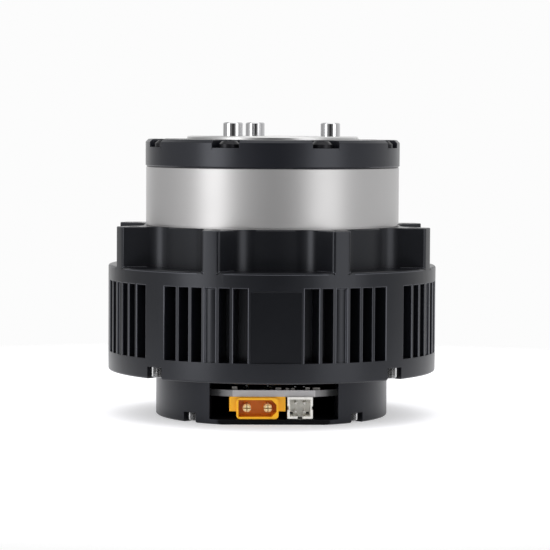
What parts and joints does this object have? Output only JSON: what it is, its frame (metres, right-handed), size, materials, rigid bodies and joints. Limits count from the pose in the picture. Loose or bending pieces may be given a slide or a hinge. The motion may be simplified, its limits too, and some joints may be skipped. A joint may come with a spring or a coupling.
{
  "type": "robot joint actuator",
  "caption": "Flat robot joint actuator: finned round motor housing with mounting lugs, planetary gear stage, turning output flange with dowels and a driver base with two connectors.",
  "frame": {"origin": "centre of the driver cover's underside, on the turning axis", "axes": "+Z along the turning axis towards the output flange; the connector window looks along -Y; +X to the right seen from the window"},
  "size_m": [0.08, 0.08, 0.0713],
  "materials": {
    "black_anodised": "satin black anodised",
    "bare_steel": "fine turned, bare",
    "flange_metal": "fine turned, clear anodised",
    "dowel_steel": "ground and polished steel",
    "gear_steel": "hobbed alloy steel",
    "bearing_steel": "ground bearing steel",
    "zinc_screw": "zinc plated",
    "black_screw": "black oxide steel",
    "bronze": "sintered bronze",
    "copper": "enamelled copper",
    "lamination": "stacked electrical steel",
    "magnet": "nickel plated magnet",
    "lead_sleeve": "silicone sleeve over copper",
    "board_laminate": "glass-epoxy laminate, dark solder mask",
    "chip_black": "moulded epoxy",
    "ceramic": "ceramic with tinned ends",
    "power_housing": "orange-yellow nylon",
    "signal_housing": "ivory nylon",
    "gold_pin": "gold plated brass",
    "tin_pin": "tin plated",
    "standoff_brass": "nickel-free brass"
  },
  "bodies": {
    "housing": {"motor_housing": "black_anodised", "rear_plate": "black_anodised", "rear_plate_screws": "zinc_screw", "driver_cover": "black_anodised", "driver_cover_screws": "zinc_screw", "ring_gear": "bare_steel", "front_cap": "black_anodised", "front_cap_screws": "black_screw", "stator_core": "lamination", "stator_coils": "copper", "phase_leads": "lead_sleeve", "driver_board": "board_laminate", "board_standoffs": "standoff_brass", "board_screws": "zinc_screw", "board_chips": "chip_black", "encoder_chip": "chip_black", "board_capacitors": "ceramic", "power_connector_body": "power_housing", "power_connector_pins": "gold_pin", "signal_connector_body": "signal_housing", "signal_connector_pins": "tin_pin", "output_bearing_outer": "bearing_steel", "carrier_bearing_outer": "bearing_steel", "rotor_bearing_outers": "bearing_steel"},
    "rotor": {"rotor_hub": "flange_metal", "rotor_core": "lamination", "rotor_magnets": "magnet", "encoder_magnet": "magnet", "sun_gear": "gear_steel", "rotor_bearing_inners": "bearing_steel"},
    "output": {"output_flange": "flange_metal", "dowel_pins": "dowel_steel", "flange_screws": "black_screw", "planet_carrier": "gear_steel", "planet_axles": "bearing_steel", "thrust_washers": "bronze", "output_bearing_inner": "bearing_steel", "carrier_bearing_inner": "bearing_steel"},
    "planet_1": {"planet_gear_1": "gear_steel", "planet_bush_1": "bronze"},
    "planet_2": {"planet_gear_2": "gear_steel", "planet_bush_2": "bronze"},
    "planet_3": {"planet_gear_3": "gear_steel", "planet_bush_3": "bronze"},
    "output_rollers": {"output_bearing_rollers": "bearing_steel"},
    "carrier_balls": {"carrier_bearing_balls": "bearing_steel"},
    "rotor_balls": {"rotor_bearing_balls": "bearing_steel"}
  },
  "joints": [
    {"name": "rotor_spin", "type": "hinge", "parent": "housing", "child": "rotor", "pos_m": [0, 0, 0.025], "axis": [0, 0, 1], "continuous": true},
    {"name": "output_spin", "type": "hinge", "parent": "housing", "child": "output", "pos_m": [0, 0, 0.0634], "axis": [0, 0, 1], "continuous": true},
    {"name": "planet_1_spin", "type": "hinge", "parent": "output", "child": "planet_1", "pos_m": [0.01284, -0.00308, 0.052], "axis": [0, 0, 1], "continuous": true},
    {"name": "planet_2_spin", "type": "hinge", "parent": "output", "child": "planet_2", "pos_m": [-0.00375, 0.01266, 0.052], "axis": [0, 0, 1], "continuous": true},
    {"name": "planet_3_spin", "type": "hinge", "parent": "output", "child": "planet_3", "pos_m": [-0.00909, -0.00957, 0.052], "axis": [0, 0, 1], "continuous": true},
    {"name": "output_rollers_orbit", "type": "hinge", "parent": "housing", "child": "output_rollers", "pos_m": [0, 0, 0.0634], "axis": [0, 0, 1], "continuous": true},
    {"name": "carrier_balls_orbit", "type": "hinge", "parent": "housing", "child": "carrier_balls", "pos_m": [0, 0, 0.0414], "axis": [0, 0, 1], "continuous": true},
    {"name": "rotor_balls_orbit", "type": "hinge", "parent": "housing", "child": "rotor_balls", "pos_m": [0, 0, 0.025], "axis": [0, 0, 1], "continuous": true}
  ],
  "couplings": [
    {"joint": "output_spin", "follows": "rotor_spin", "ratio": 0.18182},
    {"joint": "planet_1_spin", "follows": "rotor_spin", "ratio": -0.46753},
    {"joint": "planet_2_spin", "follows": "rotor_spin", "ratio": -0.46753},
    {"joint": "planet_3_spin", "follows": "rotor_spin", "ratio": -0.46753},
    {"joint": "output_rollers_orbit", "follows": "rotor_spin", "ratio": 0.084695},
    {"joint": "carrier_balls_orbit", "follows": "rotor_spin", "ratio": 0.08521},
    {"joint": "rotor_balls_orbit", "follows": "rotor_spin", "ratio": 0.4069}
  ]
}
